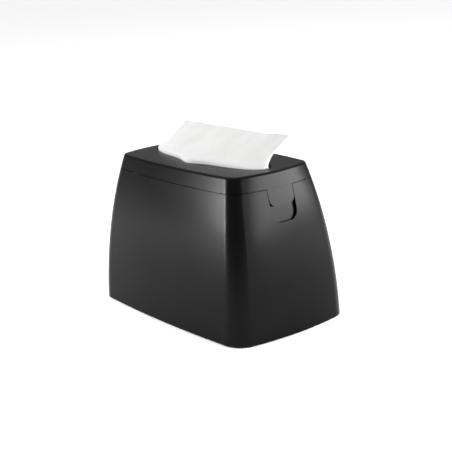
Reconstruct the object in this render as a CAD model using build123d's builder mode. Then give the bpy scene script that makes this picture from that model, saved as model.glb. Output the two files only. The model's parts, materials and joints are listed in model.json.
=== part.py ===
from build123d import *
import os
from math import atan2, cos, degrees, exp, radians

# Countertop dispenser for interfolded napkins, in millimetres.
# Origin: on the table, under the centre of the hull. +X runs along the hull to the latch end,
# +Y across it to the back, +Z up.

# Napkins: the width of the fold sets the size of everything round it.
NAPKIN_WIDTH = 165.0
NAPKIN_LENGTH = 208.0
STACK_DEPTH = NAPKIN_LENGTH / 2

# Hull: a bowed, round-cornered box that draws in towards the top.
HEIGHT = 165.0
BASE_HALF_LENGTH = 130.0
BASE_HALF_WIDTH = 79.0
LENGTH_TAPER = 25.6
WIDTH_TAPER = 23.2
LONG_SIDE_BOW = 5.9
END_BOW = 10.0
BOW_AT_CORNER = 0.87
BASE_CORNER = 24.2
TOP_CORNER = 14.4

# Shells
WALL = 2.5
LID_WALL = 2.2
LID_THICKNESS = 2.2
LID_EDGE_ROUND = 2.8
SHELL_BOTTOM = 1.2
SEAM = 149.0
SEAM_GAP = 0.6
LID_BOTTOM = SEAM + SEAM_GAP
LIP_INSET = 2.8
LIP_WALL = 1.2
LIP_HEIGHT = 2.0
LIP_ROOT = 5.0
LIP_OVERLAP = 0.5
OVERSHOOT = 1.0

# Dispensing slot in the lid: a full oval with a finger scoop in the middle of each long side.
SLOT_HALF_LENGTH = 90.0
SLOT_HALF_WIDTH = 24.7
SLOT_FULLNESS = 2.3
SCOOP_DEPTH = 8.3
SCOOP_SPREAD = 19.0
SLOT_RIM = 1.6
SLOT_RIM_DROP = 1.2
SLOT_EDGE_ROUND = 0.9

# Latch tab, which hangs from the lid into a finger recess in the +X end.
TAB_HALF_WIDTH = 16.6
TAB_BOTTOM = 132.0
TAB_TOP = LID_BOTTOM - 0.15
TAB_THICKNESS = 2.0
TAB_CORNER = 7.0
TAB_DRAFT = 0.7
TAB_SIDE_GAP = 0.6
RECESS_HALF_WIDTH = TAB_HALF_WIDTH + TAB_SIDE_GAP
RECESS_DEPTH = 3.0
RECESS_BOTTOM = 115.5
RECESS_CORNER = 10.0
HOOK_HALF_WIDTH = 6.0
HOOK_BOTTOM = 134.2
HOOK_TOP = 138.2
HOOK_REACH = 6.2
HOOK_NOSE = 1.2
HOOK_ROOT = 0.5
HOOK_PLAY = 1.0
HOOK_WINDOW_DEPTH = 20.0
HOOK_WINDOW_X = BASE_HALF_LENGTH - 25.0

# Base
PLATE_BOTTOM = 3.2
PLATE_THICKNESS = 3.0
PLATE_TOP = PLATE_BOTTOM + PLATE_THICKNESS
PLATE_CLEARANCE = 0.4
FOOT_X = 104.0
FOOT_Y = 46.0
FOOT_RADIUS = 8.0
FOOT_STEM = 2.5
FOOT_HEAD = 3.4
FOOT_HEAD_HEIGHT = 2.0
FOOT_HEAD_LEAD = 0.7
FOOT_ROUND = 1.0
BASE_SCREW_X = 113.4
BASE_SCREW_Y = 62.8
BOSS_RADIUS = 4.5
BOSS_HEIGHT = 18.0
BOSS_RIB_SHIFT = 2.6
BOSS_RIB_LENGTH = 4.2
BOSS_RIB_WIDTH = 2.0
SCREW_RADIUS = 1.5
SCREW_CLEARANCE = 1.8
SCREW_HEAD = 3.2
SCREW_HEAD_HEIGHT = 1.5
SCREW_HEAD_ROUND = 0.6
DRIVER_LENGTH = 3.0
DRIVER_WIDTH = 0.8
DRIVER_DEPTH = 0.9
BASE_SCREW_LENGTH = 12.0
WELL_SCREW_LENGTH = 5.5

# Napkin well
WELL_HALF_LENGTH = 84.0
WELL_HALF_WIDTH = 53.5
WELL_WALL = 1.5
WELL_TOP = 138.0
WELL_CORNER = 4.0
FLANGE = 8.0
FLANGE_THICKNESS = 2.0
FLANGE_CORNER = 6.0
WELL_SCREW_X = WELL_HALF_LENGTH + WELL_WALL + FLANGE / 2
WELL_SCREW_Y = 36.0
PLATE_BOSS_DROP = 1.5
PLATE_BOSS_RADIUS = 4.0
NOTCH_HALF_WIDTH = 24.0
NOTCH_DEPTH = 14.0
NOTCH_CORNER = 8.0

# Pusher platform, springs and stack
PLATFORM_TOP = 70.8
PLATFORM_THICKNESS = 3.0
PLATFORM_UNDER = PLATFORM_TOP - PLATFORM_THICKNESS
PLATFORM_CLEARANCE = 0.7
PLATFORM_CORNER = 3.0
PLATFORM_HALF_LENGTH = WELL_HALF_LENGTH - PLATFORM_CLEARANCE
PLATFORM_HALF_WIDTH = WELL_HALF_WIDTH - PLATFORM_CLEARANCE
PLATFORM_TRAVEL = 50.0
PLATFORM_RIB = 5.0
PAD_THICKNESS = 1.2
PAD_MARGIN = 6.0
LUG_HALF_WIDTH = 10.0
LUG_REACH = 4.5
LUG_HEIGHT = 5.0
LUG_SIDE_PLAY = 0.8
LUG_OVERRUN = 1.5
LUG_SLOT_TOP = 128.0
LUG_SLOT_CORNER = 2.0
SPRING_X = 42.0
SPRING_WIRE = 0.9
SPRING_BASE_RADIUS = 26.0
SPRING_TOP_RADIUS = 17.0
SPRING_TURNS = 6
SPRING_FIT = 0.6
SPRING_SEAT_GAP = 0.05
SPRING_RING_HEIGHT = 3.0
RING_WALL = 1.5
STACK_BOTTOM = PLATFORM_TOP + PAD_THICKNESS
STACK_SHOULDER = 148.0
STACK_CROWN = 160.5
STACK_CORNER = 1.5

# Hinges on the -X end, one each side of the middle
HINGE_Y = 26.0
HINGE_X = -111.6
HINGE_Z = SEAM + SEAM_GAP / 2
KNUCKLE_RADIUS = 3.2
KNUCKLE_WIDTH = 5.0
KNUCKLE_GAP = 0.3
PIN_RADIUS = 1.5
PIN_RUNNING_FIT = 0.06
PIN_CHAMFER = 0.3
SHELL_ARM = 5.6
LID_ARM = 6.0

# Lid bumpers
BUMPER_X = 60.0
BUMPER_INSET = 3.3
BUMPER_LENGTH = 10.0
BUMPER_WIDTH = 1.6

# Top napkin: it stands on the slot's front edge and leans back over the slot.
SHEET_THICKNESS = 0.8
SHEET_EDGE_GAP = 1.3
SHEET_FOOT = 161.0
SHEET_BEND = 166.0
SHEET_TOP = 192.0
SHEET_TOP_Y = 34.0
SHEET_FOOT_HALF = 80.0
SHEET_STEPS = 12


def hull_size(height):
    """Half length and half width of the hull at a height."""
    share = height / HEIGHT
    draw_in = 0.25 * share + 0.61 * share**2 + 0.14 * share**3
    return BASE_HALF_LENGTH - LENGTH_TAPER * draw_in, BASE_HALF_WIDTH - WIDTH_TAPER * draw_in


def hull_section(height, inset=0.0):
    """The hull's bowed, round-cornered section at a height, drawn inside its outer face by inset."""
    half_length, half_width = (size - inset for size in hull_size(height))
    corner_x = half_length - END_BOW * BOW_AT_CORNER
    corner_y = half_width - LONG_SIDE_BOW * BOW_AT_CORNER
    corner = BASE_CORNER + (TOP_CORNER - BASE_CORNER) * height / HEIGHT - inset
    with BuildSketch(Plane.XY.offset(height)) as section:
        with BuildLine():
            ThreePointArc((-corner_x, -corner_y), (0, -half_width), (corner_x, -corner_y))
            ThreePointArc((corner_x, -corner_y), (half_length, 0), (corner_x, corner_y))
            ThreePointArc((corner_x, corner_y), (0, half_width), (-corner_x, corner_y))
            ThreePointArc((-corner_x, corner_y), (-half_length, 0), (-corner_x, -corner_y))
        make_face()
        fillet(section.vertices(), radius=corner)
    return section.sketch


def hull_solid(low, high, inset=0.0, levels=5):
    """The hull between two heights, as a solid drawn inside its outer face by inset."""
    with BuildPart() as solid:
        for level in range(levels):
            add(hull_section(low + (high - low) * level / (levels - 1), inset))
        loft()
    return solid.part


def latch_outline(half_width, bottom, top, corner):
    """A tab seen from the +X end: straight sides that close in slightly, round lower corners."""
    with BuildSketch(Plane.YZ) as outline:
        with BuildLine():
            Polyline(
                (-half_width, top),
                (TAB_DRAFT - half_width, bottom),
                (half_width - TAB_DRAFT, bottom),
                (half_width, top),
                close=True,
            )
        make_face()
        fillet(outline.vertices().group_by(Axis.Y)[0], radius=corner)
    return outline.sketch


def slot_edge(x, growth=0.0):
    """Distance of the slot's long edge from its middle line, at a place along the slot."""
    share = min(abs(x) / (SLOT_HALF_LENGTH + growth), 1.0)
    oval = (SLOT_HALF_WIDTH + growth) * (1 - share**SLOT_FULLNESS) ** (1 / SLOT_FULLNESS)
    return oval + SCOOP_DEPTH * exp(-((x / SCOOP_SPREAD) ** 2))


def slot_outline(height, growth=0.0):
    """The dispensing slot at a height, larger all round by growth."""
    quarter = [radians(angle) for angle in range(0, 90, 6)]
    right = [(SLOT_HALF_LENGTH + growth) * cos(a) ** (2 / SLOT_FULLNESS) for a in quarter]
    front = [(x, -slot_edge(x, growth)) for x in right] + [(0, -slot_edge(0, growth))]
    loop = front + [(-x, y) for x, y in reversed(front[:-1])]
    loop = loop + [(x, -y) for x, y in reversed(loop[1:-1])]
    with BuildSketch(Plane.XY.offset(height)) as outline:
        with BuildLine():
            Spline(*loop, periodic=True)
        make_face()
    return outline.sketch


os.makedirs("parts", exist_ok=True)


# Body shell: the drawn-in hull, open top and bottom, with the finger recess at its +X end
with BuildPart() as recess_backing:
    backing_outline = latch_outline(
        RECESS_HALF_WIDTH + WALL, RECESS_BOTTOM - WALL, SEAM, RECESS_CORNER + WALL
    )
    extrude(backing_outline, amount=BASE_HALF_LENGTH, dir=(1, 0, 0))
    add(hull_solid(RECESS_BOTTOM - 2 * WALL, SEAM, 0.1), mode=Mode.INTERSECT)
    add(
        hull_solid(RECESS_BOTTOM - 3 * WALL, SEAM + OVERSHOOT, RECESS_DEPTH + WALL),
        mode=Mode.SUBTRACT,
    )

with BuildPart() as recess_cut:
    recess_top = SEAM + LIP_HEIGHT + OVERSHOOT
    recess_outline = latch_outline(RECESS_HALF_WIDTH, RECESS_BOTTOM, recess_top, RECESS_CORNER)
    extrude(recess_outline, amount=BASE_HALF_LENGTH, dir=(1, 0, 0))
    add(
        hull_solid(RECESS_BOTTOM - 2 * WALL, SEAM + 2 * LIP_HEIGHT, RECESS_DEPTH),
        mode=Mode.SUBTRACT,
    )

with BuildPart() as body_shell:
    add(hull_solid(SHELL_BOTTOM, SEAM))
    add(hull_solid(SHELL_BOTTOM - OVERSHOOT, SEAM + OVERSHOOT, WALL), mode=Mode.SUBTRACT)
    # Thickened rim with a locating lip that stands inside the lid's skirt
    add(hull_solid(SEAM - LIP_ROOT, SEAM, WALL / 2, levels=3))
    add(hull_solid(SEAM - LIP_OVERLAP, SEAM + LIP_HEIGHT, LIP_INSET, levels=3))
    add(
        hull_solid(
            SEAM - LIP_ROOT - OVERSHOOT, SEAM + LIP_HEIGHT + OVERSHOOT, LIP_INSET + LIP_WALL, levels=3
        ),
        mode=Mode.SUBTRACT,
    )
    add(recess_backing.part)
    add(recess_cut.part, mode=Mode.SUBTRACT)
    # Slot in the recess's back wall, where the latch hook goes through
    with Locations((HOOK_WINDOW_X, 0, (HOOK_BOTTOM + HOOK_TOP - HOOK_NOSE) / 2)):
        Box(
            HOOK_WINDOW_DEPTH,
            2 * (HOOK_HALF_WIDTH + HOOK_PLAY),
            HOOK_TOP - HOOK_BOTTOM + 2 * HOOK_NOSE,
            mode=Mode.SUBTRACT,
        )
    # Screw bosses in the four lower corners, each tied to the corner by a rib
    for side_x in (-1, 1):
        for side_y in (-1, 1):
            with Locations((side_x * BASE_SCREW_X, side_y * BASE_SCREW_Y, PLATE_TOP + BOSS_HEIGHT / 2)):
                Cylinder(BOSS_RADIUS, BOSS_HEIGHT)
            rib_x = side_x * (BASE_SCREW_X + BOSS_RIB_SHIFT)
            rib_y = side_y * (BASE_SCREW_Y + BOSS_RIB_SHIFT)
            rib_turn = 45 * side_x * side_y
            with Locations(Location((rib_x, rib_y, PLATE_TOP + BOSS_HEIGHT / 2), (0, 0, rib_turn))):
                Box(BOSS_RIB_LENGTH, BOSS_RIB_WIDTH, BOSS_HEIGHT)
    with Locations(Plane.XY.offset(PLATE_TOP)):
        with GridLocations(2 * BASE_SCREW_X, 2 * BASE_SCREW_Y, 2, 2):
            Cylinder(
                SCREW_RADIUS,
                BASE_SCREW_LENGTH + OVERSHOOT,
                align=(Align.CENTER, Align.CENTER, Align.MIN),
                mode=Mode.SUBTRACT,
            )
    # Two fixed knuckles for each hinge, on arms from the -X wall
    for hinge_y in (-HINGE_Y, HINGE_Y):
        for side in (-1, 1):
            knuckle_y = hinge_y + side * (KNUCKLE_WIDTH + KNUCKLE_GAP)
            with Locations(Location((HINGE_X, knuckle_y, HINGE_Z), (90, 0, 0))):
                Cylinder(KNUCKLE_RADIUS, KNUCKLE_WIDTH)
            with Locations((HINGE_X, knuckle_y, SEAM)):
                Box(
                    SHELL_ARM,
                    KNUCKLE_WIDTH,
                    KNUCKLE_RADIUS - SEAM_GAP / 2,
                    align=(Align.MIN, Align.CENTER, Align.MAX),
                )
            with Locations(Location((HINGE_X, knuckle_y, HINGE_Z), (90, 0, 0))):
                Cylinder(PIN_RADIUS, KNUCKLE_WIDTH, mode=Mode.SUBTRACT)
body_shell.part.label = "body_shell"
export_step(body_shell.part, "parts/body_shell.step")


# Base plate: closes the hull from below and carries the feet and the well
with BuildPart() as base_plate:
    add(hull_solid(PLATE_BOTTOM, PLATE_TOP, WALL + PLATE_CLEARANCE, levels=2))
    with Locations(Plane.XY.offset(PLATE_BOTTOM)):
        with GridLocations(2 * WELL_SCREW_X, 2 * WELL_SCREW_Y, 2, 2):
            Cylinder(PLATE_BOSS_RADIUS, PLATE_BOSS_DROP, align=(Align.CENTER, Align.CENTER, Align.MAX))
    # Rings that the wide ends of the springs stand inside
    with BuildSketch(Plane.XY.offset(PLATE_TOP)):
        with Locations((-SPRING_X, 0), (SPRING_X, 0)):
            Circle(SPRING_BASE_RADIUS + SPRING_WIRE + SPRING_FIT + RING_WALL)
            Circle(SPRING_BASE_RADIUS + SPRING_WIRE + SPRING_FIT, mode=Mode.SUBTRACT)
    extrude(amount=SPRING_RING_HEIGHT)
    with Locations(Plane.XY):
        with GridLocations(2 * BASE_SCREW_X, 2 * BASE_SCREW_Y, 2, 2):
            Hole(SCREW_CLEARANCE, depth=4 * PLATE_THICKNESS)
        with GridLocations(2 * WELL_SCREW_X, 2 * WELL_SCREW_Y, 2, 2):
            Hole(SCREW_RADIUS, depth=4 * PLATE_THICKNESS)
        with GridLocations(2 * FOOT_X, 2 * FOOT_Y, 2, 2):
            Hole(FOOT_STEM, depth=4 * PLATE_THICKNESS)
base_plate.part.label = "base_plate"
export_step(base_plate.part, "parts/base_plate.step")


def screw_group(name, spacing_x, spacing_y, seat, length, upward):
    """Four pan-head screws on a rectangle. seat is the height under the head."""
    head_side = Align.MAX if upward else Align.MIN
    shank_side = Align.MIN if upward else Align.MAX
    with BuildPart() as screws:
        with Locations(Plane.XY.offset(seat)):
            with GridLocations(spacing_x, spacing_y, 2, 2):
                Cylinder(SCREW_RADIUS, length, align=(Align.CENTER, Align.CENTER, shank_side))
                Cylinder(SCREW_HEAD, SCREW_HEAD_HEIGHT, align=(Align.CENTER, Align.CENTER, head_side))
        head_height = seat - SCREW_HEAD_HEIGHT if upward else seat + SCREW_HEAD_HEIGHT
        rims = screws.edges().filter_by(GeomType.CIRCLE).filter_by_position(
            Axis.Z, head_height - 0.01, head_height + 0.01
        )
        fillet(rims, radius=SCREW_HEAD_ROUND)
        driver_side = Align.MIN if upward else Align.MAX
        with Locations(Plane.XY.offset(head_height)):
            with GridLocations(spacing_x, spacing_y, 2, 2):
                driver_align = (Align.CENTER, Align.CENTER, driver_side)
                Box(DRIVER_LENGTH, DRIVER_WIDTH, DRIVER_DEPTH, align=driver_align, mode=Mode.SUBTRACT)
                Box(DRIVER_WIDTH, DRIVER_LENGTH, DRIVER_DEPTH, align=driver_align, mode=Mode.SUBTRACT)
    screws.part.label = name
    export_step(screws.part, f"parts/{name}.step")


# Screws: four up through the base plate into the shell, four down through the well's flange
screw_group(
    name="base_screws",
    spacing_x=2 * BASE_SCREW_X,
    spacing_y=2 * BASE_SCREW_Y,
    seat=PLATE_BOTTOM,
    length=PLATE_THICKNESS + BASE_SCREW_LENGTH,
    upward=True,
)
screw_group(
    name="well_screws",
    spacing_x=2 * WELL_SCREW_X,
    spacing_y=2 * WELL_SCREW_Y,
    seat=PLATE_TOP + FLANGE_THICKNESS,
    length=WELL_SCREW_LENGTH,
    upward=False,
)


# Feet: push-in rubber bumpers with a barbed head above the base plate
def rubber_foot(name, x, y):
    with BuildPart() as foot:
        with Locations((x, y, 0)):
            Cylinder(FOOT_RADIUS, PLATE_BOTTOM, align=(Align.CENTER, Align.CENTER, Align.MIN))
        fillet(foot.edges().group_by(Axis.Z)[0], radius=FOOT_ROUND)
        with Locations((x, y, PLATE_BOTTOM)):
            Cylinder(FOOT_STEM, PLATE_THICKNESS, align=(Align.CENTER, Align.CENTER, Align.MIN))
        with Locations((x, y, PLATE_TOP)):
            Cone(
                FOOT_HEAD,
                FOOT_STEM - FOOT_HEAD_LEAD,
                FOOT_HEAD_HEIGHT,
                align=(Align.CENTER, Align.CENTER, Align.MIN),
            )
    foot.part.label = name
    export_step(foot.part, f"parts/{name}.step")


rubber_foot("foot_front_left", -FOOT_X, -FOOT_Y)
rubber_foot("foot_front_right", FOOT_X, -FOOT_Y)
rubber_foot("foot_rear_left", -FOOT_X, FOOT_Y)
rubber_foot("foot_rear_right", FOOT_X, FOOT_Y)


# Napkin well: a straight-sided liner that guides the stack and the platform
with BuildPart() as napkin_well:
    with BuildSketch(Plane.XY.offset(PLATE_TOP)):
        RectangleRounded(
            2 * (WELL_HALF_LENGTH + WELL_WALL + FLANGE),
            2 * (WELL_HALF_WIDTH + WELL_WALL + FLANGE / 2),
            FLANGE_CORNER,
        )
    extrude(amount=FLANGE_THICKNESS)
    with BuildSketch(Plane.XY.offset(PLATE_TOP)):
        RectangleRounded(
            2 * (WELL_HALF_LENGTH + WELL_WALL), 2 * (WELL_HALF_WIDTH + WELL_WALL), WELL_CORNER
        )
    extrude(amount=WELL_TOP - PLATE_TOP)
    with BuildSketch(Plane.XY.offset(PLATE_TOP)):
        RectangleRounded(2 * WELL_HALF_LENGTH, 2 * WELL_HALF_WIDTH, WELL_CORNER - WELL_WALL)
    extrude(amount=WELL_TOP, mode=Mode.SUBTRACT)
    # Tall slots in the end walls, which the platform's lugs run in
    with BuildSketch(Plane.YZ.offset(-WELL_HALF_LENGTH - 2 * FLANGE)):
        slot_low = PLATFORM_UNDER - PLATFORM_TRAVEL - LUG_HEIGHT - LUG_OVERRUN
        with Locations((0, (slot_low + LUG_SLOT_TOP) / 2)):
            RectangleRounded(
                2 * (LUG_HALF_WIDTH + LUG_SIDE_PLAY), LUG_SLOT_TOP - slot_low, LUG_SLOT_CORNER
            )
    extrude(amount=2 * WELL_HALF_LENGTH + 4 * FLANGE, mode=Mode.SUBTRACT)
    # Notches in the long walls, for the fingers that drop a new pack in
    with BuildSketch(Plane.XZ.offset(-WELL_HALF_WIDTH - FLANGE)):
        with Locations((0, WELL_TOP)):
            RectangleRounded(2 * NOTCH_HALF_WIDTH, 2 * NOTCH_DEPTH, NOTCH_CORNER)
    extrude(amount=2 * WELL_HALF_WIDTH + 2 * FLANGE, mode=Mode.SUBTRACT)
    with Locations(Plane.XY.offset(PLATE_TOP)):
        with GridLocations(2 * WELL_SCREW_X, 2 * WELL_SCREW_Y, 2, 2):
            Hole(SCREW_CLEARANCE, depth=4 * FLANGE_THICKNESS)
napkin_well.part.label = "napkin_well"
export_step(napkin_well.part, "parts/napkin_well.step")


# Pusher platform: carries the stack up the well, with lugs through the well's end slots
with BuildPart() as pusher_platform:
    with BuildSketch(Plane.XY.offset(PLATFORM_UNDER)):
        RectangleRounded(2 * PLATFORM_HALF_LENGTH, 2 * PLATFORM_HALF_WIDTH, PLATFORM_CORNER)
    extrude(amount=PLATFORM_THICKNESS)
    # Turned-down rim that keeps the plate square in the well
    with BuildSketch(Plane.XY.offset(PLATFORM_UNDER)):
        RectangleRounded(2 * PLATFORM_HALF_LENGTH, 2 * PLATFORM_HALF_WIDTH, PLATFORM_CORNER)
        RectangleRounded(
            2 * (PLATFORM_HALF_LENGTH - RING_WALL),
            2 * (PLATFORM_HALF_WIDTH - RING_WALL),
            PLATFORM_CORNER - RING_WALL,
            mode=Mode.SUBTRACT,
        )
    extrude(amount=-PLATFORM_RIB)
    # Rings inside the narrow ends of the springs, and a rib across the middle
    with BuildSketch(Plane.XY.offset(PLATFORM_UNDER)):
        with Locations((-SPRING_X, 0), (SPRING_X, 0)):
            Circle(SPRING_TOP_RADIUS - SPRING_WIRE - SPRING_FIT)
            Circle(SPRING_TOP_RADIUS - SPRING_WIRE - SPRING_FIT - RING_WALL, mode=Mode.SUBTRACT)
    extrude(amount=-PLATFORM_RIB)
    with Locations(Plane.XY.offset(PLATFORM_UNDER)):
        Box(
            RING_WALL,
            2 * (PLATFORM_HALF_WIDTH - RING_WALL / 2),
            PLATFORM_RIB,
            align=(Align.CENTER, Align.CENTER, Align.MAX),
        )
        with GridLocations(2 * PLATFORM_HALF_LENGTH, 0, 2, 1):
            Box(
                2 * LUG_REACH,
                2 * LUG_HALF_WIDTH,
                LUG_HEIGHT,
                align=(Align.CENTER, Align.CENTER, Align.MAX),
            )
pusher_platform.part.label = "pusher_platform"
export_step(pusher_platform.part, "parts/pusher_platform.step")


# Non-slip pad on the platform, which holds on to the last napkins
with BuildPart() as platform_pad:
    with BuildSketch(Plane.XY.offset(PLATFORM_TOP)):
        RectangleRounded(NAPKIN_WIDTH - 2 * PAD_MARGIN, STACK_DEPTH - 2 * PAD_MARGIN, PAD_MARGIN)
    extrude(amount=PAD_THICKNESS)
platform_pad.part.label = "platform_pad"
export_step(platform_pad.part, "parts/platform_pad.step")


# Springs: two conical coils between the base plate and the platform
def conical_spring(name, x):
    height = PLATFORM_UNDER - PLATE_TOP - 2 * (SPRING_WIRE + SPRING_SEAT_GAP)
    lean = -degrees(atan2(SPRING_BASE_RADIUS - SPRING_TOP_RADIUS, height))
    with BuildPart() as spring:
        with BuildLine() as coil:
            Helix(
                pitch=height / SPRING_TURNS,
                height=height,
                radius=SPRING_BASE_RADIUS,
                center=(x, 0, PLATE_TOP + SPRING_WIRE + SPRING_SEAT_GAP),
                cone_angle=lean,
            )
        with BuildSketch(Plane(origin=coil.line @ 0, z_dir=coil.line % 0)):
            Circle(SPRING_WIRE)
        sweep(is_frenet=True)
    spring.part.label = name
    export_step(spring.part, f"parts/{name}.step")


conical_spring("pusher_spring_left", -SPRING_X)
conical_spring("pusher_spring_right", SPRING_X)


# Stack of interfolded napkins: square below, crowned where it presses up under the slot
with BuildPart() as napkin_stack:
    with BuildSketch(Plane.YZ.offset(-NAPKIN_WIDTH / 2)):
        with BuildLine():
            Polyline(
                (-STACK_DEPTH / 2, STACK_SHOULDER),
                (-STACK_DEPTH / 2, STACK_BOTTOM),
                (STACK_DEPTH / 2, STACK_BOTTOM),
                (STACK_DEPTH / 2, STACK_SHOULDER),
            )
            ThreePointArc(
                (STACK_DEPTH / 2, STACK_SHOULDER), (0, STACK_CROWN), (-STACK_DEPTH / 2, STACK_SHOULDER)
            )
        make_face()
    extrude(amount=NAPKIN_WIDTH)
    fillet(napkin_stack.edges().filter_by(Axis.Z), radius=STACK_CORNER)
napkin_stack.part.label = "napkin_stack"
export_step(napkin_stack.part, "parts/napkin_stack.step")


# Top napkin: a thin folded sheet inside the slot's outline, its top edge straight
def sheet_section(height, half_width, front_edge):
    """A thin strip across the sheet at a height. front_edge gives its front face at each x."""
    across = [half_width * (2 * step / SHEET_STEPS - 1) for step in range(SHEET_STEPS + 1)]
    front = [(x, front_edge(x)) for x in across]
    back = [(x, y + SHEET_THICKNESS) for x, y in front]
    with BuildSketch(Plane.XY.offset(height)) as strip:
        with BuildLine():
            Spline(*front)
            Line(front[-1], back[-1])
            Spline(*reversed(back))
            Line(back[0], front[0])
        make_face()
    return strip.sketch


def sheet_foot_line(x):
    return SHEET_EDGE_GAP - slot_edge(x)


def sheet_top_line(x):
    return SHEET_TOP_Y


with BuildPart() as top_napkin:
    add(sheet_section(SHEET_FOOT, SHEET_FOOT_HALF, sheet_foot_line))
    add(sheet_section(SHEET_BEND, SHEET_FOOT_HALF, sheet_foot_line))
    loft(ruled=True)
    add(sheet_section(SHEET_BEND, SHEET_FOOT_HALF, sheet_foot_line))
    add(sheet_section(SHEET_TOP, NAPKIN_WIDTH / 2, sheet_top_line))
    loft(ruled=True)
top_napkin.part.label = "top_napkin"
export_step(top_napkin.part, "parts/top_napkin.step")


# Lid: shallow cap with the dispensing slot, and one knuckle for each hinge
with BuildPart() as lid:
    add(hull_solid(LID_BOTTOM, HEIGHT, levels=4))
    fillet(lid.edges().group_by(Axis.Z)[-1], radius=LID_EDGE_ROUND)
    add(
        hull_solid(LID_BOTTOM - OVERSHOOT, HEIGHT - LID_THICKNESS, LID_WALL, levels=4),
        mode=Mode.SUBTRACT,
    )
    # Turned-down rim round the slot, then the slot itself with a rounded upper edge
    rim_outline = slot_outline(HEIGHT - LID_THICKNESS / 2, SLOT_RIM)
    extrude(rim_outline, amount=LID_THICKNESS / 2 + SLOT_RIM_DROP, dir=(0, 0, -1))
    cut_outline = slot_outline(HEIGHT + OVERSHOOT)
    extrude(cut_outline, amount=4 * LID_THICKNESS, dir=(0, 0, -1), mode=Mode.SUBTRACT)
    slot_rims = lid.edges().filter_by_position(Axis.Z, HEIGHT - 0.01, HEIGHT + 0.01)
    slot_rims = slot_rims.filter_by(
        lambda edge: edge.bounding_box().max.Y < SLOT_HALF_WIDTH + SCOOP_DEPTH + OVERSHOOT
        and edge.bounding_box().min.Y > -(SLOT_HALF_WIDTH + SCOOP_DEPTH + OVERSHOOT)
        and edge.bounding_box().max.X < SLOT_HALF_LENGTH + OVERSHOOT
        and edge.bounding_box().min.X > -(SLOT_HALF_LENGTH + OVERSHOOT)
    )
    fillet(slot_rims, radius=SLOT_EDGE_ROUND)
    for hinge_y in (-HINGE_Y, HINGE_Y):
        knuckle_width = KNUCKLE_WIDTH - KNUCKLE_GAP
        with Locations(Location((HINGE_X, hinge_y, HINGE_Z), (90, 0, 0))):
            Cylinder(KNUCKLE_RADIUS, knuckle_width)
        with Locations((HINGE_X, hinge_y, LID_BOTTOM)):
            Box(
                LID_ARM,
                knuckle_width,
                KNUCKLE_RADIUS - SEAM_GAP / 2,
                align=(Align.MIN, Align.CENTER, Align.MIN),
            )
        with Locations(Location((HINGE_X, hinge_y, HINGE_Z), (90, 0, 0))):
            Cylinder(PIN_RADIUS + PIN_RUNNING_FIT, knuckle_width, mode=Mode.SUBTRACT)
lid.part.label = "lid"
export_step(lid.part, "parts/lid.step")


# Latch tab: flush with the hull, with a hook that goes through the recess's back wall
with BuildPart() as tab_band:
    tab_outline = latch_outline(TAB_HALF_WIDTH, TAB_BOTTOM, TAB_TOP, TAB_CORNER)
    extrude(tab_outline, amount=BASE_HALF_LENGTH, dir=(1, 0, 0))
    add(hull_solid(TAB_BOTTOM - 2 * WALL, TAB_TOP + OVERSHOOT), mode=Mode.INTERSECT)
    add(
        hull_solid(TAB_BOTTOM - 3 * WALL, TAB_TOP + 2 * OVERSHOOT, TAB_THICKNESS),
        mode=Mode.SUBTRACT,
    )

with BuildPart() as latch_tab:
    add(tab_band.part)
    hook_x = hull_size(HOOK_TOP)[0] - HOOK_REACH
    with BuildSketch(Plane.XZ.offset(-HOOK_HALF_WIDTH)):
        with BuildLine():
            Polyline(
                (hook_x, HOOK_TOP),
                (hook_x, HOOK_TOP - HOOK_NOSE),
                (hull_size(HOOK_BOTTOM)[0] - TAB_THICKNESS + HOOK_ROOT, HOOK_BOTTOM),
                (hull_size(HOOK_TOP)[0] - TAB_THICKNESS + HOOK_ROOT, HOOK_TOP),
                close=True,
            )
        make_face()
    extrude(amount=2 * HOOK_HALF_WIDTH)
latch_tab.part.label = "latch_tab"
export_step(latch_tab.part, "parts/latch_tab.step")


# Hinge pins: a steel pin through each set of three knuckles
def hinge_pin(name, y):
    length = 3 * KNUCKLE_WIDTH + 2 * KNUCKLE_GAP
    with BuildPart() as pin:
        with Locations(Location((HINGE_X, y, HINGE_Z), (90, 0, 0))):
            Cylinder(PIN_RADIUS, length)
        chamfer(pin.edges(), length=PIN_CHAMFER)
    pin.part.label = name
    export_step(pin.part, f"parts/{name}.step")


hinge_pin("hinge_pin_left", -HINGE_Y)
hinge_pin("hinge_pin_right", HINGE_Y)


# Bumpers: soft pads on the shell's rim that the lid comes down on
with BuildPart() as lid_bumpers:
    for side_x in (-1, 1):
        for side_y in (-1, 1):
            rim_y = hull_size(SEAM)[1] - BUMPER_INSET
            with Locations((side_x * BUMPER_X, side_y * rim_y, SEAM)):
                Box(
                    BUMPER_LENGTH,
                    BUMPER_WIDTH,
                    SEAM_GAP,
                    align=(Align.CENTER, Align.CENTER, Align.MIN),
                )
lid_bumpers.part.label = "lid_bumpers"
export_step(lid_bumpers.part, "parts/lid_bumpers.step")
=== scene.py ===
"""Looks for the countertop napkin dispenser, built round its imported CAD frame. Units are metres."""

import json
import math
import random

import bmesh
import bpy
from mathutils import Matrix, Vector


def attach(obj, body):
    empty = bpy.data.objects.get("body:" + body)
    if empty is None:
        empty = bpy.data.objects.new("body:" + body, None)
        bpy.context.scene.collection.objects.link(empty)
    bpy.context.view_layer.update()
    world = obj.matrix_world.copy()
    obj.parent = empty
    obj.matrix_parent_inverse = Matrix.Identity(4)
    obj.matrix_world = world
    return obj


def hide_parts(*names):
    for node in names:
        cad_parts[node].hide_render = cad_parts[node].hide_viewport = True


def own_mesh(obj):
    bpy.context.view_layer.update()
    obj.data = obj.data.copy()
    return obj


MM = 0.001

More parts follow.
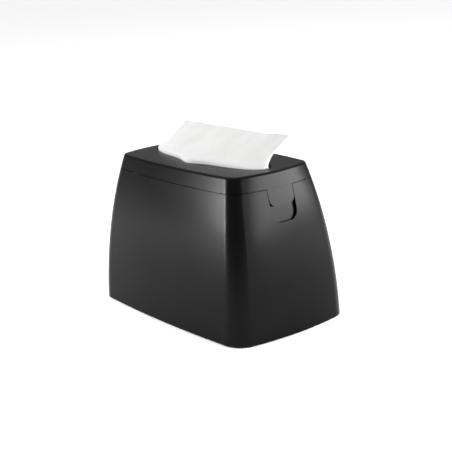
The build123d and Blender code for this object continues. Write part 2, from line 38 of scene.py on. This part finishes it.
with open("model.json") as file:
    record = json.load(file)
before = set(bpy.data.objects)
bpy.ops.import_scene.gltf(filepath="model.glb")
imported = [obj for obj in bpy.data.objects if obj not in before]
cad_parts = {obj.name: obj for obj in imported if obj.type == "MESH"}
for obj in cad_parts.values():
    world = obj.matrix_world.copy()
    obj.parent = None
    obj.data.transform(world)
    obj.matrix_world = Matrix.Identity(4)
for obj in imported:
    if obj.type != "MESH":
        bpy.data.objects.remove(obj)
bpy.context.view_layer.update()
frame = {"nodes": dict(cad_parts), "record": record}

# Camera: on the photograph's side, near the corner between the front and the latch end.
CAMERA_AZIMUTH = math.radians(52.06)
CAMERA_ELEVATION = math.radians(15.67)
CAMERA_ROLL = math.radians(-3.16)
CAMERA_DISTANCE = 1.1629
CAMERA_AIM = Vector((-0.0085, 0.0212, 0.0825))
CAMERA_LENS = 84.1
SENSOR_WIDTH = 36.0


def make_camera():
    """A camera on a sphere round the aim point, turned a little about its own axis."""
    flat = math.cos(CAMERA_ELEVATION)
    back = Vector((
        math.sin(CAMERA_AZIMUTH) * flat,
        -math.cos(CAMERA_AZIMUTH) * flat,
        math.sin(CAMERA_ELEVATION),
    ))
    level = Vector((math.cos(CAMERA_AZIMUTH), math.sin(CAMERA_AZIMUTH), 0))
    upright = back.cross(level)
    right = math.cos(CAMERA_ROLL) * level + math.sin(CAMERA_ROLL) * upright
    up = back.cross(right)
    data = bpy.data.cameras.new("camera")
    data.lens = CAMERA_LENS
    data.sensor_width = SENSOR_WIDTH
    data.clip_start = 0.05
    data.clip_end = 20
    camera = bpy.data.objects.new("camera", data)
    turn = Matrix((right, up, back)).transposed()
    camera.matrix_world = Matrix.Translation(CAMERA_AIM + CAMERA_DISTANCE * back) @ turn.to_4x4()
    bpy.context.scene.collection.objects.link(camera)
    bpy.context.scene.camera = camera


make_camera()


# --- Materials -------------------------------------------------------------------------------

class Shader:
    """A short way to write a material's nodes: each call adds a node and returns it."""

    def __init__(self, name, **constants):
        self.material = bpy.data.materials.new(name)
        self.material.use_nodes = True
        self.tree = self.material.node_tree
        self.surface = self.tree.nodes["Principled BSDF"]
        for socket, value in constants.items():
            self.surface.inputs[socket.replace("_", " ")].default_value = value

    def node(self, kind, links=None, **settings):
        """A node of a kind, with inputs linked from sockets or set to values."""
        node = self.tree.nodes.new("ShaderNode" + kind)
        for name, value in settings.items():
            setattr(node, name, value)
        for name, value in (links or {}).items():
            if isinstance(value, bpy.types.NodeSocket):
                self.tree.links.new(value, node.inputs[name])
            else:
                node.inputs[name].default_value = value
        return node

    def place(self, scale=(1, 1, 1)):
        """Object-space coordinates, scaled along each axis."""
        where = self.node("TexCoord").outputs["Object"]
        return self.node("Mapping", {"Vector": where, "Scale": scale}).outputs["Vector"]

    def noise(self, where, scale, detail=2.0, roughness=0.5):
        links = {"Vector": where, "Scale": scale, "Detail": detail, "Roughness": roughness}
        return self.node("TexNoise", links).outputs["Fac"]

    def remap(self, value, low, high, out_low, out_high):
        links = {"Value": value, "From Min": low, "From Max": high, "To Min": out_low, "To Max": out_high}
        return self.node("MapRange", links).outputs["Result"]

    def math(self, operation, first, second):
        return self.node("Math", {0: first, 1: second}, operation=operation).outputs[0]

    def mix(self, share, first, second):
        links = {"Factor": share, 6: first, 7: second}
        return self.node("Mix", links, data_type="RGBA").outputs[2]

    def bump(self, height, strength, distance, under=None):
        links = {"Height": height, "Strength": strength, "Distance": distance}
        if under is not None:
            links["Normal"] = under
        return self.node("Bump", links).outputs["Normal"]

    def give(self, socket, value):
        self.tree.links.new(value, self.surface.inputs[socket])


def moulded_plastic(name, dark, light, roughness, grain, grain_depth):
    """Moulded plastic with a fine spark-eroded grain, faint flow variation and light handling marks.

    The specular level is far below a real plastic's, so that the bright floor greys the hull less.
    """
    shader = Shader(name, Specular_IOR_Level=0.07)
    where = shader.place()
    cloud = shader.noise(where, 9.0, 3.0)
    tint = shader.mix(shader.remap(cloud, 0.35, 0.65, 0, 1), (*dark, 1), (*light, 1))
    shader.give("Base Color", tint)
    handled = shader.noise(where, 22.0, 2.0, 0.5)
    shader.give("Roughness", shader.remap(handled, 0.3, 0.7, roughness - 0.012, roughness + 0.015))
    fine = shader.noise(where, grain, 2.0, 0.6)
    shader.give("Normal", shader.bump(fine, 0.12, grain_depth))
    return shader.material


SHELL = moulded_plastic(
    "shell_plastic", dark=(0.0016, 0.0016, 0.0017), light=(0.0022, 0.0022, 0.0023),
    roughness=0.25, grain=2600, grain_depth=0.00002,
)
INNER = moulded_plastic(
    "inner_plastic", dark=(0.030, 0.030, 0.032), light=(0.040, 0.040, 0.042),
    roughness=0.52, grain=1500, grain_depth=0.00005,
)


def steel(name, colour, roughness, streak):
    """Bare or plated steel, with drawn streaks and small tarnish spots."""
    shader = Shader(name, Metallic=1.0)
    where = shader.place(streak)
    drawn = shader.noise(where, 900.0, 3.0)
    spots = shader.noise(shader.place(), 160.0, 4.0)
    darker = tuple(0.62 * c for c in colour)
    shader.give("Base Color", shader.mix(shader.remap(spots, 0.5, 0.72, 0, 1), (*colour, 1), (*darker, 1)))
    shader.give("Roughness", shader.remap(drawn, 0.3, 0.7, roughness - 0.07, roughness + 0.08))
    shader.give("Normal", shader.bump(drawn, 0.15, 0.00003))
    return shader.material


SCREW_STEEL = steel("screw_steel", (0.60, 0.60, 0.62), roughness=0.30, streak=(1, 1, 1))
SPRING_STEEL = steel("spring_steel", (0.44, 0.44, 0.46), roughness=0.34, streak=(1, 1, 0.4))


def rubber(name, colour, roughness, pore):
    """Soft matt rubber with a slight bloom and a pore texture."""
    shader = Shader(name, Specular_IOR_Level=0.08)
    where = shader.place()
    dust = shader.noise(where, 60.0, 5.0)
    paler = tuple(1.6 * c + 0.002 for c in colour)
    shader.give("Base Color", shader.mix(shader.remap(dust, 0.45, 0.75, 0, 1), (*colour, 1), (*paler, 1)))
    shader.give("Roughness", shader.remap(dust, 0.3, 0.7, roughness, roughness + 0.12))
    pores = shader.noise(where, pore, 3.0)
    shader.give("Normal", shader.bump(pores, 0.5, 0.00008))
    return shader.material


FOOT_RUBBER = rubber("foot_rubber", (0.016, 0.016, 0.016), roughness=0.72, pore=1400)
# The pad rubber's near-black colour is partly painted shade: it is set darker than the feet's rubber so
# that the lid bumpers, which show in the lid seam, are as dark as the shade in that gap.
PAD_RUBBER = rubber("pad_rubber", (0.006, 0.006, 0.0065), roughness=0.85, pore=700)


def tissue(name, colour, emboss, relief):
    """Embossed tissue: a lattice of tiny points, loose fibres and a soft translucent body.

    emboss is the lattice's wave number in radians a metre, and 0 leaves it out. The colours are darker
    than real tissue, because the studio is lit above white.
    """
    shader = Shader(
        name, Roughness=0.92, Specular_IOR_Level=0.12, Sheen_Weight=0.25, Sheen_Roughness=0.7,
        Subsurface_Weight=0.12, Subsurface_Scale=0.002, Subsurface_Radius=(1.0, 1.0, 1.0),
    )
    where = shader.node("TexCoord").outputs["UV"]
    split = shader.node("SeparateXYZ", {"Vector": where})
    x, y = split.outputs[0], split.outputs[1]
    wave_a = shader.math("SINE", shader.math("MULTIPLY", x, emboss), 0.0)
    wave_b = shader.math("SINE", shader.math("MULTIPLY", y, emboss), 0.0)
    points = shader.math("MULTIPLY", wave_a, wave_b)
    pulp = shader.noise(where, 26.0, 6.0, 0.65)
    flock = shader.noise(where, 420.0, 3.0, 0.7)
    tone = shader.math("ADD", shader.math("MULTIPLY", pulp, 0.6), shader.math("MULTIPLY", flock, 0.4))
    tone = shader.math("ADD", tone, shader.math("MULTIPLY", points, 0.22))
    greyer = tuple(0.84 * c for c in colour)
    shader.give("Base Color", shader.mix(shader.remap(tone, 0.4, 0.6, 0, 1), (*greyer, 1), (*colour, 1)))
    height = shader.math("ADD", shader.math("MULTIPLY", points, 0.5), shader.math("MULTIPLY", flock, 0.6))
    shader.give("Normal", shader.bump(height, 0.7 * relief, 0.00016))
    return shader.material


PAPER = tissue("napkin_paper", (0.42, 0.42, 0.417), emboss=2700.0, relief=1.0)
PILE = tissue("napkin_pile", (0.55, 0.55, 0.545), emboss=0.0, relief=0.4)

FINISH = {
    "shell_plastic": SHELL,
    "inner_plastic": INNER,
    "screw_steel": SCREW_STEEL,
    "spring_steel": SPRING_STEEL,
    "foot_rubber": FOOT_RUBBER,
    "pad_rubber": PAD_RUBBER,
    "napkin_paper": PAPER,
}
NODE_SLOT = {row["node"]: row["material_slot"] for row in frame["record"]["subparts"]}
for node, holder in frame["nodes"].items():
    holder.data.materials.clear()
    holder.data.materials.append(FINISH[NODE_SLOT[node]])


# --- Meshes ----------------------------------------------------------------------------------

def grid_mesh(name, rows, closed=False, uv=None):
    """A smooth quad grid from rows of points.

    closed joins each row's ends. uv is a function of row and column that gives (u, v).
    """
    count = len(rows[0])
    points = [tuple(p) for row in rows for p in row]
    faces = []
    for r in range(len(rows) - 1):
        for c in range(count if closed else count - 1):
            n = (c + 1) % count
            faces.append((r * count + c, r * count + n, (r + 1) * count + n, (r + 1) * count + c))
    mesh = bpy.data.meshes.new(name)
    mesh.from_pydata(points, [], faces)
    mesh.shade_smooth()
    if uv:
        layer = mesh.uv_layers.new(name="flat")
        for loop in mesh.loops:
            layer.data[loop.index].uv = uv(loop.vertex_index // count, loop.vertex_index % count)
    made = bpy.data.objects.new(name, mesh)
    bpy.context.scene.collection.objects.link(made)
    return made


def cap(made, ring, up):
    """Closes one end of a tube-like grid with a face."""
    shell = bmesh.new()
    shell.from_mesh(made.data)
    shell.verts.ensure_lookup_table()
    loop = [shell.verts[i] for i in ring]
    shell.faces.new(loop if up else list(reversed(loop)))
    shell.to_mesh(made.data)
    shell.free()


# Napkins: the sheet's flat size, and the slot and stack that it lies between
NAPKIN_WIDTH = 165 * MM
NAPKIN_LENGTH = 208 * MM
LID_TOP = 165 * MM
SLOT_HALF_LENGTH = 90 * MM
SLOT_HALF_WIDTH = 24.7 * MM
SLOT_FULLNESS = 2.3
SCOOP_DEPTH = 8.3 * MM
SCOOP_SPREAD = 19 * MM
STACK_HALF_DEPTH = 52 * MM
STACK_BOTTOM = 72 * MM
STACK_SHOULDER = 148 * MM
STACK_CROWN = 160.5 * MM


def slot_edge(x):
    """Distance of the slot's long edge from its middle line."""
    share = min(abs(x) / SLOT_HALF_LENGTH, 1.0)
    oval = SLOT_HALF_WIDTH * (1 - share**SLOT_FULLNESS) ** (1 / SLOT_FULLNESS)
    return oval + SCOOP_DEPTH * math.exp(-((x / SCOOP_SPREAD) ** 2))


def crown(y):
    """Height of the stack's top across its depth."""
    return STACK_SHOULDER + (STACK_CROWN - STACK_SHOULDER) * (1 - (y / STACK_HALF_DEPTH) ** 2)


def smooth(value, start, end):
    """0 before start, 1 after end, easing between them."""
    share = min(max((value - start) / (end - start), 0.0), 1.0)
    return share * share * (3 - 2 * share)


def spline(knots, count):
    """Evenly spaced points on a Catmull-Rom curve through knots."""
    ends = [2 * knots[0] - knots[1]] + list(knots) + [2 * knots[-1] - knots[-2]]
    dense = []
    for k in range(1, len(ends) - 2):
        a, b, c, d = ends[k - 1:k + 3]
        for step in range(24):
            t = step / 24
            dense.append(0.5 * (
                2 * b + (c - a) * t + (2 * a - 5 * b + 4 * c - d) * t**2
                + (3 * b - 3 * c + d - a) * t**3
            ))
    dense.append(ends[-2])
    run = [0.0]
    for first, second in zip(dense, dense[1:]):
        run.append(run[-1] + (second - first).length)
    found, at = [], 0
    for step in range(count):
        want = run[-1] * step / (count - 1)
        while at < len(run) - 2 and run[at + 1] < want:
            at += 1
        share = (want - run[at]) / max(run[at + 1] - run[at], 1e-9)
        found.append(dense[at].lerp(dense[at + 1], share))
    return found


def spread(x):
    """How far the sheet's ends are pushed outwards where they meet the slot's ends."""
    return (-6.2 * smooth(-x, 46 * MM, 82 * MM) + 7.1 * smooth(x, 36 * MM, 82 * MM)) * MM


def sheet_feet(x):
    """Where the sheet leaves the slot: at the slot's front edge, and a smoother line for what is above."""
    reach = x + spread(x)
    edge = slot_edge(reach) - SCOOP_DEPTH * math.exp(-((reach / SCOOP_SPREAD) ** 2))
    eased = 0.8 * SCOOP_DEPTH * math.exp(-((reach / (1.5 * SCOOP_SPREAD)) ** 2))
    return 1.5 * MM - slot_edge(reach), 1.5 * MM - edge - eased


def front_knots(x):
    """The front layer's path in (y, z), from its tucked end up over the slot's edge to the fold."""
    foot, base = sheet_feet(x)
    fold = fold_line(x)
    root = Vector((base, LID_TOP))
    lean = fold - root
    across = Vector((-lean.y, lean.x)).normalized()
    belly = (2.7 + 0.7 * math.cos(x / (33 * MM) + 0.6)) * (1 - 0.9 * smooth(x, 45 * MM, 82 * MM)) * MM
    return [
        Vector((foot + 22 * MM, crown(foot + 22 * MM) + 0.7 * MM)),
        Vector((foot + 12 * MM, crown(foot + 12 * MM) + 0.9 * MM)),
        Vector((foot + 3.4 * MM, crown(foot + 3.4 * MM) + 1.0 * MM)),
        Vector((foot + 0.3 * MM, LID_TOP - 3.6 * MM)),
        Vector((foot, LID_TOP + 0.4 * MM)),
        Vector((0.6 * foot + 0.4 * base, LID_TOP)) + 0.03 * lean + 1.1 * belly * across,
        root + 0.16 * lean + 0.92 * belly * across,
        root + 0.36 * lean + 0.80 * belly * across,
        root + 0.66 * lean + 0.30 * belly * across,
        fold,
    ]


def back_knots(x):
    """The back layer's path, from the fold down behind the front layer and into the slot."""
    foot, base = sheet_feet(x)
    fold = fold_line(x)
    root = Vector((base, LID_TOP))
    lean = fold - root
    reach = max(min(0.62 * slot_edge(x), 15 * MM), foot + 8 * MM)
    behind = Vector((lean.y, -lean.x)).normalized()
    gap = (0.9 + 0.3 * math.sin(x / (24 * MM))) * MM
    mouth = foot + 4.2 * MM
    middle = 0.5 * (mouth + reach)
    return [
        fold,
        root + 0.80 * lean + 0.3 * gap * behind,
        root + 0.55 * lean + 0.7 * gap * behind,
        root + 0.30 * lean + 0.8 * gap * behind,
        Vector((mouth + 1.5 * MM, LID_TOP + 3.0 * MM)),
        Vector((mouth + 0.1 * MM, LID_TOP - 0.6 * MM)),
        Vector((mouth + 1.4 * MM, crown(mouth + 1.4 * MM) + 1.7 * MM)),
        Vector((middle, crown(middle) + 1.5 * MM)),
        Vector((reach, crown(reach) + 0.8 * MM)),
    ]


def fold_line(x):
    """Where the sheet is folded: a nearly straight top edge that sags a little and lifts at one corner."""
    u = x / (NAPKIN_WIDTH / 2)
    sag = 1.3 * (1 - u**2) + 1.1 * math.exp(-((u - 0.5) / 0.22) ** 2)
    return Vector((34.5 * MM + 0.0565 * x, (192 - sag) * MM))


def napkin_sheet():
    """One interfolded napkin standing up from the slot, folded across the middle of its length."""
    columns, half = 132, 84
    rows = []
    for column in range(columns + 1):
        x = NAPKIN_WIDTH * (column / columns - 0.5)
        front = spline(front_knots(x), half)
        back = spline(back_knots(x), half)
        path = front[:-1] + back
        row = []
        for at, point in enumerate(path):
            low = (1 - smooth(point.y, LID_TOP, LID_TOP + 11 * MM)) ** 1.2
            above = smooth(point.y, LID_TOP - 2 * MM, LID_TOP + 10 * MM)
            crumple = (
                0.34 * math.sin(x / (7.1 * MM) + 3.0 * at / half)
                + 0.26 * math.sin(x / (3.9 * MM) - 2.1 * at / half + 1.0)
            ) * above * (1 - 0.6 * abs(2 * at / len(path) - 1)) * MM
            row.append((x + low * spread(x), point.x - 0.35 * crumple, point.y + 0.8 * crumple))
        rows.append(row)
    made = grid_mesh(
        "folded_napkin", rows,
        uv=lambda r, c: (r / columns * NAPKIN_WIDTH, c / (2 * half - 2) * NAPKIN_LENGTH),
    )
    made.data.materials.append(PAPER)
    solid = made.modifiers.new("ply", "SOLIDIFY")
    solid.thickness = 0.22 * MM
    solid.offset = 0
    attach(made, "napkin")
    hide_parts("top_napkin")
    return made


def rounded_rectangle(half_x, half_y, corner, per_corner, per_long, per_short):
    """Points round a rectangle with rounded corners, anticlockwise from its +X end."""
    signs = ((1, 1), (-1, 1), (-1, -1), (1, -1))
    centres = [Vector((x * (half_x - corner), y * (half_y - corner))) for x, y in signs]
    points = []
    for turn, centre in enumerate(centres):
        for step in range(per_corner):
            angle = math.radians(90 * (turn + step / per_corner))
            points.append(centre + corner * Vector((math.cos(angle), math.sin(angle))))
        angle = math.radians(90 * (turn + 1))
        out = corner * Vector((math.cos(angle), math.sin(angle)))
        start, end = centre + out, centres[(turn + 1) % 4] + out
        run = per_long if turn % 2 == 0 else per_short
        points += [start.lerp(end, step / run) for step in range(run)]
    return points


def napkin_pile():
    """The stack: many folded layers, flat below and bowed up under the slot."""
    layers = 96
    chance = random.Random(21)
    rows = []
    for layer in range(layers):
        share = layer / (layers - 1)
        bow = share**3
        inset_x = 0.2 + 0.9 * chance.random() ** 2
        inset_y = 0.2 + 1.1 * chance.random() ** 2
        shift_x, shift_y = chance.uniform(-0.2, 0.2), chance.uniform(-0.2, 0.2)
        for part, pinch in ((0.1, 1.1), (0.5, 0.0), (0.9, 1.1)):
            ring = rounded_rectangle(
                NAPKIN_WIDTH / 2 - (inset_x + pinch) * MM, STACK_HALF_DEPTH - (inset_y + pinch) * MM,
                1.6 * MM, 4, 22, 14,
            )
            level = (layer + part) / layers
            row = []
            flat = STACK_BOTTOM + (STACK_SHOULDER - STACK_BOTTOM) * level
            for p in ring:
                z = flat + bow * (crown(p.y) - STACK_SHOULDER)
                row.append((p.x + shift_x * MM, p.y + shift_y * MM, z))
            rows.append(row)
    # The crowned top, drawn in ring by ring to the middle
    outline = rows[-1]
    for share in (0.995, 0.97, 0.9, 0.8, 0.65, 0.5, 0.35, 0.2, 0.08, 0.01):
        rows.append([
            (x * share, y * share, z + crown(y * share) - crown(y)) for x, y, z in outline
        ])
    made = grid_mesh("napkin_pile", rows, closed=True)
    cap(made, [(len(rows) - 1) * len(outline) + c for c in range(len(outline))], True)
    cap(made, list(range(len(outline))), False)
    made.data.materials.append(PILE)
    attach(made, "platform")
    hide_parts("napkin_stack")


# Springs: the seats that they stand between and the wire
SPRING_SEAT = 6.2 * MM
SPRING_TOP = 67.8 * MM
SPRING_WIRE = 0.9 * MM
SPRING_TURNS = 7.5
SPRING_CLOSED_TURN = 0.75
SPRING_WIDE_RADIUS = 26 * MM
SPRING_NARROW_RADIUS = 17 * MM
SPRING_CLEARANCE = 0.05 * MM


def coil_spring(name, centre_x):
    """A conical coil with a flat closed turn at each end."""
    per_turn, sides = 56, 14
    low = SPRING_SEAT + SPRING_WIRE + SPRING_CLEARANCE
    high = SPRING_TOP - SPRING_WIRE - SPRING_CLEARANCE
    count = int(SPRING_TURNS * per_turn)
    centreline = []
    for step in range(count + 1):
        turn = SPRING_TURNS * step / count
        climb = min(max((turn - SPRING_CLOSED_TURN) / (SPRING_TURNS - 2 * SPRING_CLOSED_TURN), 0), 1)
        climb = climb + 0.012 * math.sin(2 * math.pi * climb)
        radius = SPRING_WIDE_RADIUS - (SPRING_WIDE_RADIUS - SPRING_NARROW_RADIUS) * climb
        lift = low + (high - low) * climb
        angle = 2 * math.pi * turn
        centreline.append(Vector((centre_x + radius * math.cos(angle), radius * math.sin(angle), lift)))
    rows = []
    for at, point in enumerate(centreline):
        before = centreline[max(at - 1, 0)]
        after = centreline[min(at + 1, count)]
        along = (after - before).normalized()
        out = (point - Vector((centre_x, 0, point.z))).normalized()
        up = along.cross(out).normalized()
        out = up.cross(along)
        rows.append([
            point + SPRING_WIRE * (math.cos(a) * out + math.sin(a) * up)
            for a in (2 * math.pi * side / sides for side in range(sides))
        ])
    made = grid_mesh(name + "_coil", rows, closed=True)
    cap(made, list(range(sides)), False)
    cap(made, [count * sides + side for side in range(sides)], True)
    made.data.materials.append(SPRING_STEEL)
    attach(made, "body")
    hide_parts(name)
    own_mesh(made)


napkin_sheet()
napkin_pile()
coil_spring("pusher_spring_left", -42 * MM)
coil_spring("pusher_spring_right", 42 * MM)


# --- Studio ----------------------------------------------------------------------------------

def studio():
    """A wide white floor under a soft overhead light, in a dim room with a pale horizon."""
    bpy.ops.mesh.primitive_plane_add(size=60, location=(0, 0, 0))
    floor = bpy.context.object
    floor.name = "floor"
    paint = Shader("floor", Roughness=0.6, Specular_IOR_Level=0.0, Base_Color=(0.97, 0.97, 0.97, 1))
    floor.data.materials.append(paint.material)
    sky = bpy.data.lights.new("overhead", "SUN")
    sky.energy = 1.85
    sky.angle = math.radians(110)
    lamp = bpy.data.objects.new("overhead", sky)
    bpy.context.scene.collection.objects.link(lamp)
    world = bpy.data.worlds.new("room")
    bpy.context.scene.world = world
    world.use_nodes = True
    nodes, links = world.node_tree.nodes, world.node_tree.links
    where = nodes.new("ShaderNodeTexCoord").outputs["Generated"]
    split = nodes.new("ShaderNodeSeparateXYZ")
    links.new(where, split.inputs[0])
    fade = nodes.new("ShaderNodeMapRange")
    fade.interpolation_type = "SMOOTHSTEP"
    for name, value in (("From Min", 0.01), ("From Max", 0.06), ("To Min", 1.0), ("To Max", 0.34)):
        fade.inputs[name].default_value = value
    links.new(split.outputs[2], fade.inputs["Value"])
    links.new(fade.outputs["Result"], nodes["Background"].inputs["Strength"])
    nodes["Background"].inputs["Color"].default_value = (1, 1, 1, 1)
    bpy.context.scene.view_settings.view_transform = "Standard"


def softbox(name, azimuth, elevation, distance, width, height, radiance):
    """An area light that looks at the middle of the object."""
    a, e = math.radians(azimuth), math.radians(elevation)
    back = Vector((math.sin(a) * math.cos(e), -math.cos(a) * math.cos(e), math.sin(e)))
    data = bpy.data.lights.new(name, "AREA")
    data.shape = "RECTANGLE"
    data.size, data.size_y = width, height
    data.energy = radiance * math.pi * width * height
    lamp = bpy.data.objects.new(name, data)
    lamp.location = Vector((0, 0, 0.08)) + back * distance
    lamp.rotation_mode = "QUATERNION"
    lamp.rotation_quaternion = (-back).to_track_quat("-Z", "Y")
    bpy.context.scene.collection.objects.link(lamp)


studio()
softbox("softbox_left", azimuth=-32, elevation=14.5, distance=2.0, width=0.28, height=0.82, radiance=84.0)
softbox("softbox_left_low", azimuth=-32, elevation=4, distance=2.0, width=0.34, height=0.26, radiance=34.0)
softbox("softbox_right", azimuth=129, elevation=15, distance=2.0, width=1.60, height=0.80, radiance=25.5)
